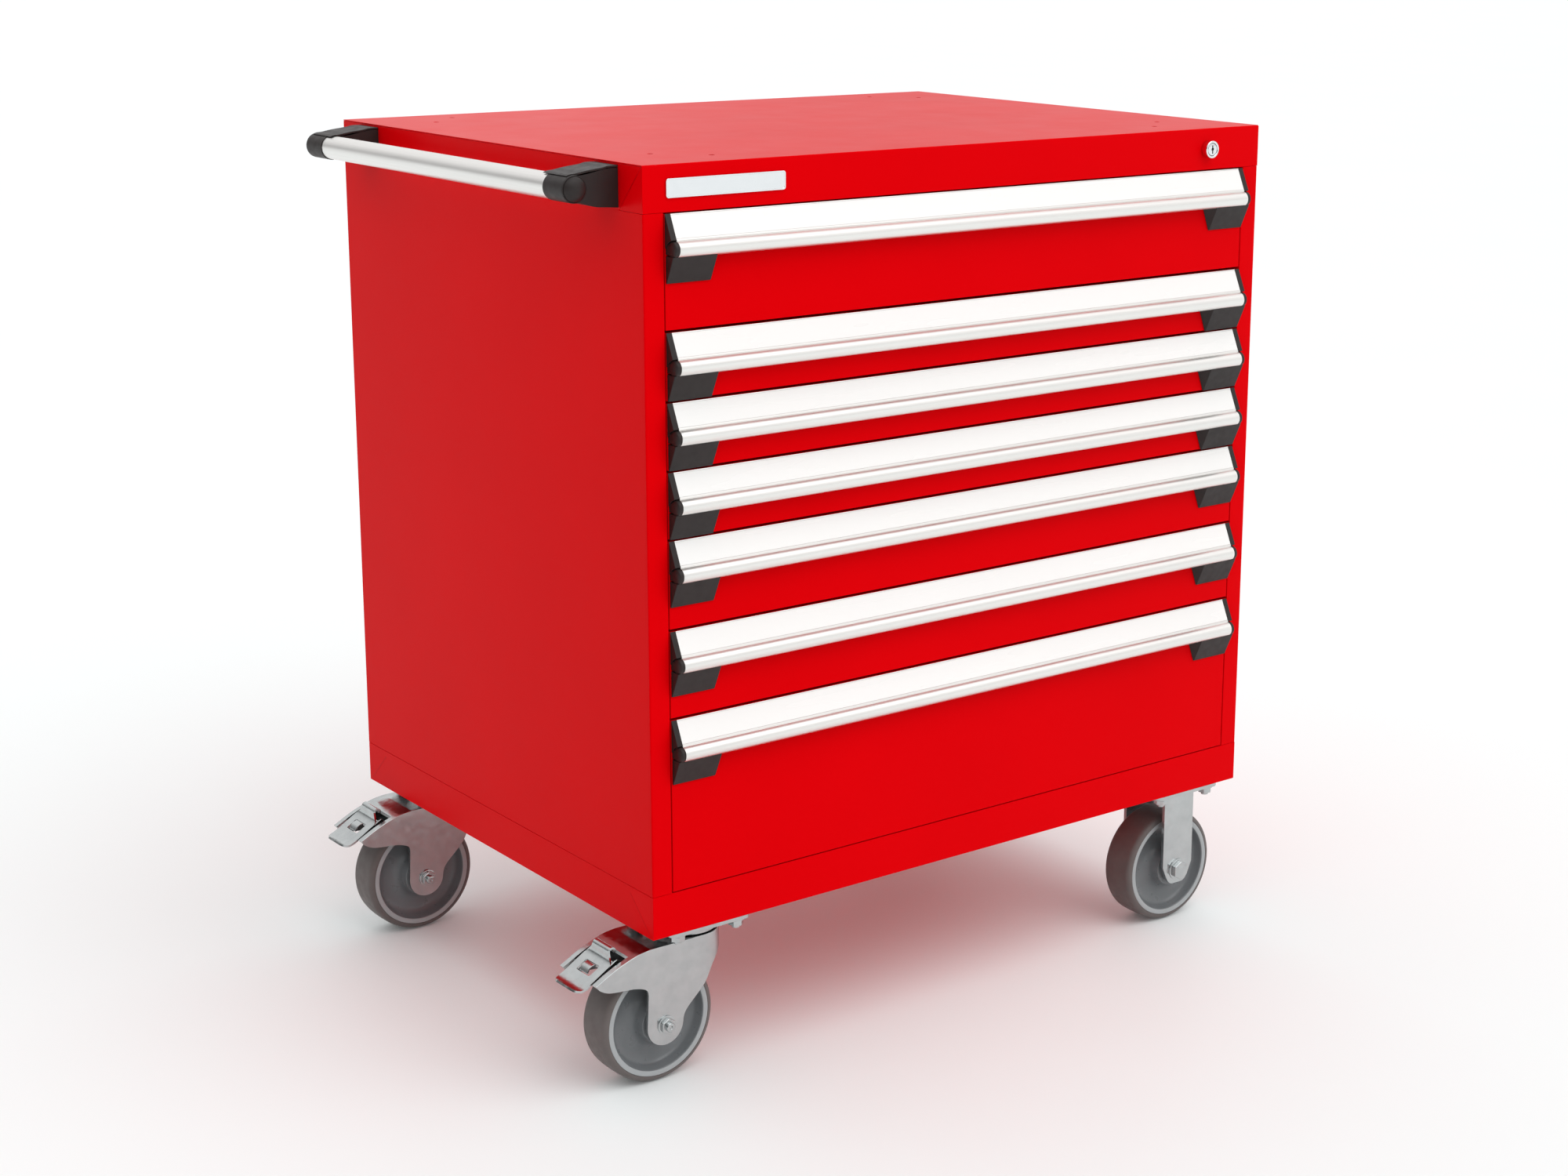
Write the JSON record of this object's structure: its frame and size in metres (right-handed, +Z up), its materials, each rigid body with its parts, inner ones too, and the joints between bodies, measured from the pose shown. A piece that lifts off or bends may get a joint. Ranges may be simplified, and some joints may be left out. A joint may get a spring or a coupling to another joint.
{
  "type": "rolling tool chest",
  "caption": "Wheeled sheet-steel tool cabinet with full-extension drawers, full-width aluminium drawer pulls, a side push handle, a key lock, braked swivel casters and rigid casters.",
  "frame": {"origin": "middle of the footprint's bounding box, on the floor under the wheels", "axes": "+X to the right seen from the front (the push handle is on the -X side), +Y to the rear (drawers open towards -Y), +Z up"},
  "size_m": [0.9984, 0.7054, 1.0536],
  "materials": {
    "red_powder_coat": "smooth gloss powder coat",
    "anodised_aluminium": "natural anodised, satin",
    "bright_zinc_plate": "bright zinc plate on pressed steel",
    "chrome_plate": "polished chrome",
    "galvanised_steel": "galvanised, satin",
    "black_nylon": "moulded, fine texture",
    "grey_rubber_tread": "grey elastic tread on a grey moulded core"
  },
  "bodies": {
    "cabinet": {"side_panel_left": "red_powder_coat", "side_panel_right": "red_powder_coat", "top_cover": "red_powder_coat", "back_panel": "red_powder_coat", "base_tray": "red_powder_coat", "runner_wall_left": "galvanised_steel", "runner_wall_right": "galvanised_steel", "lock_barrel": "chrome_plate", "blank_plate": "chrome_plate", "handle_tube": "anodised_aluminium", "handle_bracket_front": "black_nylon", "handle_bracket_rear": "black_nylon", "swivel_plate_front": "bright_zinc_plate", "swivel_plate_rear": "bright_zinc_plate", "kingpin_front": "bright_zinc_plate", "kingpin_rear": "bright_zinc_plate", "rigid_fork_front": "bright_zinc_plate", "rigid_fork_rear": "bright_zinc_plate", "rigid_axle_front": "bright_zinc_plate", "rigid_axle_rear": "bright_zinc_plate"},
    "lock_plug": {"lock_plug": "chrome_plate"},
    "lock_bar": {"lock_bar": "galvanised_steel"},
    "drawer_1": {"drawer_1_box": "red_powder_coat", "drawer_1_pull": "anodised_aluminium"},
    "slide_1_left": {"slide_1_left": "galvanised_steel"},
    "slide_1_right": {"slide_1_right": "galvanised_steel"},
    "drawer_2": {"drawer_2_box": "red_powder_coat", "drawer_2_pull": "anodised_aluminium"},
    "slide_2_left": {"slide_2_left": "galvanised_steel"},
    "slide_2_right": {"slide_2_right": "galvanised_steel"},
    "drawer_3": {"drawer_3_box": "red_powder_coat", "drawer_3_pull": "anodised_aluminium"},
    "slide_3_left": {"slide_3_left": "galvanised_steel"},
    "slide_3_right": {"slide_3_right": "galvanised_steel"},
    "drawer_4": {"drawer_4_box": "red_powder_coat", "drawer_4_pull": "anodised_aluminium"},
    "slide_4_left": {"slide_4_left": "galvanised_steel"},
    "slide_4_right": {"slide_4_right": "galvanised_steel"},
    "drawer_5": {"drawer_5_box": "red_powder_coat", "drawer_5_pull": "anodised_aluminium"},
    "slide_5_left": {"slide_5_left": "galvanised_steel"},
    "slide_5_right": {"slide_5_right": "galvanised_steel"},
    "drawer_6": {"drawer_6_box": "red_powder_coat", "drawer_6_pull": "anodised_aluminium"},
    "slide_6_left": {"slide_6_left": "galvanised_steel"},
    "slide_6_right": {"slide_6_right": "galvanised_steel"},
    "drawer_7": {"drawer_7_box": "red_powder_coat", "drawer_7_pull": "anodised_aluminium"},
    "slide_7_left": {"slide_7_left": "galvanised_steel"},
    "slide_7_right": {"slide_7_right": "galvanised_steel"},
    "swivel_front": {"swivel_fork_front": "bright_zinc_plate", "swivel_axle_front": "bright_zinc_plate"},
    "swivel_rear": {"swivel_fork_rear": "bright_zinc_plate", "swivel_axle_rear": "bright_zinc_plate"},
    "swivel_wheel_front": {"swivel_wheel_front": "grey_rubber_tread"},
    "swivel_wheel_rear": {"swivel_wheel_rear": "grey_rubber_tread"},
    "brake_pedal_front": {"brake_pedal_front": "bright_zinc_plate"},
    "brake_pedal_rear": {"brake_pedal_rear": "bright_zinc_plate"},
    "rigid_wheel_front": {"rigid_wheel_front": "grey_rubber_tread"},
    "rigid_wheel_rear": {"rigid_wheel_rear": "grey_rubber_tread"}
  },
  "joints": [
    {"name": "drawer_1_slide", "type": "slide", "parent": "cabinet", "child": "drawer_1", "axis": [0, -1, 0], "range_m": [0, 0.6]},
    {"name": "slide_1_left_travel", "type": "slide", "parent": "cabinet", "child": "slide_1_left", "axis": [0, -1, 0], "range_m": [0, 0.3]},
    {"name": "slide_1_right_travel", "type": "slide", "parent": "cabinet", "child": "slide_1_right", "axis": [0, -1, 0], "range_m": [0, 0.3]},
    {"name": "drawer_2_slide", "type": "slide", "parent": "cabinet", "child": "drawer_2", "axis": [0, -1, 0], "range_m": [0, 0.6]},
    {"name": "slide_2_left_travel", "type": "slide", "parent": "cabinet", "child": "slide_2_left", "axis": [0, -1, 0], "range_m": [0, 0.3]},
    {"name": "slide_2_right_travel", "type": "slide", "parent": "cabinet", "child": "slide_2_right", "axis": [0, -1, 0], "range_m": [0, 0.3]},
    {"name": "drawer_3_slide", "type": "slide", "parent": "cabinet", "child": "drawer_3", "axis": [0, -1, 0], "range_m": [0, 0.6]},
    {"name": "slide_3_left_travel", "type": "slide", "parent": "cabinet", "child": "slide_3_left", "axis": [0, -1, 0], "range_m": [0, 0.3]},
    {"name": "slide_3_right_travel", "type": "slide", "parent": "cabinet", "child": "slide_3_right", "axis": [0, -1, 0], "range_m": [0, 0.3]},
    {"name": "drawer_4_slide", "type": "slide", "parent": "cabinet", "child": "drawer_4", "axis": [0, -1, 0], "range_m": [0, 0.6]},
    {"name": "slide_4_left_travel", "type": "slide", "parent": "cabinet", "child": "slide_4_left", "axis": [0, -1, 0], "range_m": [0, 0.3]},
    {"name": "slide_4_right_travel", "type": "slide", "parent": "cabinet", "child": "slide_4_right", "axis": [0, -1, 0], "range_m": [0, 0.3]},
    {"name": "drawer_5_slide", "type": "slide", "parent": "cabinet", "child": "drawer_5", "axis": [0, -1, 0], "range_m": [0, 0.6]},
    {"name": "slide_5_left_travel", "type": "slide", "parent": "cabinet", "child": "slide_5_left", "axis": [0, -1, 0], "range_m": [0, 0.3]},
    {"name": "slide_5_right_travel", "type": "slide", "parent": "cabinet", "child": "slide_5_right", "axis": [0, -1, 0], "range_m": [0, 0.3]},
    {"name": "drawer_6_slide", "type": "slide", "parent": "cabinet", "child": "drawer_6", "axis": [0, -1, 0], "range_m": [0, 0.6]},
    {"name": "slide_6_left_travel", "type": "slide", "parent": "cabinet", "child": "slide_6_left", "axis": [0, -1, 0], "range_m": [0, 0.3]},
    {"name": "slide_6_right_travel", "type": "slide", "parent": "cabinet", "child": "slide_6_right", "axis": [0, -1, 0], "range_m": [0, 0.3]},
    {"name": "drawer_7_slide", "type": "slide", "parent": "cabinet", "child": "drawer_7", "axis": [0, -1, 0], "range_m": [0, 0.6]},
    {"name": "slide_7_left_travel", "type": "slide", "parent": "cabinet", "child": "slide_7_left", "axis": [0, -1, 0], "range_m": [0, 0.3]},
    {"name": "slide_7_right_travel", "type": "slide", "parent": "cabinet", "child": "slide_7_right", "axis": [0, -1, 0], "range_m": [0, 0.3]},
    {"name": "lock_bar_lift", "type": "slide", "parent": "cabinet", "child": "lock_bar", "axis": [0, 0, 1], "range_m": [0, 0.012]},
    {"name": "lock_turn", "type": "hinge", "parent": "cabinet", "child": "lock_plug", "pos_m": [0.4103, -0.33311, 1.0282], "axis": [0, 1, 0], "range_deg": [0, 90]},
    {"name": "swivel_front_turn", "type": "hinge", "parent": "cabinet", "child": "swivel_front", "pos_m": [-0.3352, -0.27511, 0.19], "axis": [0, 0, 1], "continuous": true},
    {"name": "swivel_wheel_front_spin", "type": "hinge", "parent": "swivel_front", "child": "swivel_wheel_front", "pos_m": [-0.3877, -0.27511, 0.075], "axis": [0, 1, 0], "continuous": true},
    {"name": "brake_pedal_front_press", "type": "hinge", "parent": "swivel_front", "child": "brake_pedal_front", "pos_m": [-0.4332, -0.27511, 0.148], "axis": [0, -1, 0], "range_deg": [0, 12]},
    {"name": "rigid_wheel_front_spin", "type": "hinge", "parent": "cabinet", "child": "rigid_wheel_front", "pos_m": [0.4188, -0.27511, 0.075], "axis": [0, 1, 0], "continuous": true},
    {"name": "swivel_rear_turn", "type": "hinge", "parent": "cabinet", "child": "swivel_rear", "pos_m": [-0.3352, 0.29469, 0.19], "axis": [0, 0, 1], "continuous": true},
    {"name": "swivel_wheel_rear_spin", "type": "hinge", "parent": "swivel_rear", "child": "swivel_wheel_rear", "pos_m": [-0.3877, 0.29469, 0.075], "axis": [0, 1, 0], "continuous": true},
    {"name": "brake_pedal_rear_press", "type": "hinge", "parent": "swivel_rear", "child": "brake_pedal_rear", "pos_m": [-0.4332, 0.29469, 0.148], "axis": [0, -1, 0], "range_deg": [0, 12]},
    {"name": "rigid_wheel_rear_spin", "type": "hinge", "parent": "cabinet", "child": "rigid_wheel_rear", "pos_m": [0.4188, 0.29469, 0.075], "axis": [0, 1, 0], "continuous": true}
  ],
  "couplings": [
    {"joint": "slide_1_left_travel", "follows": "drawer_1_slide", "ratio": 0.5},
    {"joint": "slide_1_right_travel", "follows": "drawer_1_slide", "ratio": 0.5},
    {"joint": "slide_2_left_travel", "follows": "drawer_2_slide", "ratio": 0.5},
    {"joint": "slide_2_right_travel", "follows": "drawer_2_slide", "ratio": 0.5},
    {"joint": "slide_3_left_travel", "follows": "drawer_3_slide", "ratio": 0.5},
    {"joint": "slide_3_right_travel", "follows": "drawer_3_slide", "ratio": 0.5},
    {"joint": "slide_4_left_travel", "follows": "drawer_4_slide", "ratio": 0.5},
    {"joint": "slide_4_right_travel", "follows": "drawer_4_slide", "ratio": 0.5},
    {"joint": "slide_5_left_travel", "follows": "drawer_5_slide", "ratio": 0.5},
    {"joint": "slide_5_right_travel", "follows": "drawer_5_slide", "ratio": 0.5},
    {"joint": "slide_6_left_travel", "follows": "drawer_6_slide", "ratio": 0.5},
    {"joint": "slide_6_right_travel", "follows": "drawer_6_slide", "ratio": 0.5},
    {"joint": "slide_7_left_travel", "follows": "drawer_7_slide", "ratio": 0.5},
    {"joint": "slide_7_right_travel", "follows": "drawer_7_slide", "ratio": 0.5},
    {"joint": "lock_turn", "follows": "lock_bar_lift", "rad_per_m": 130.89}
  ]
}
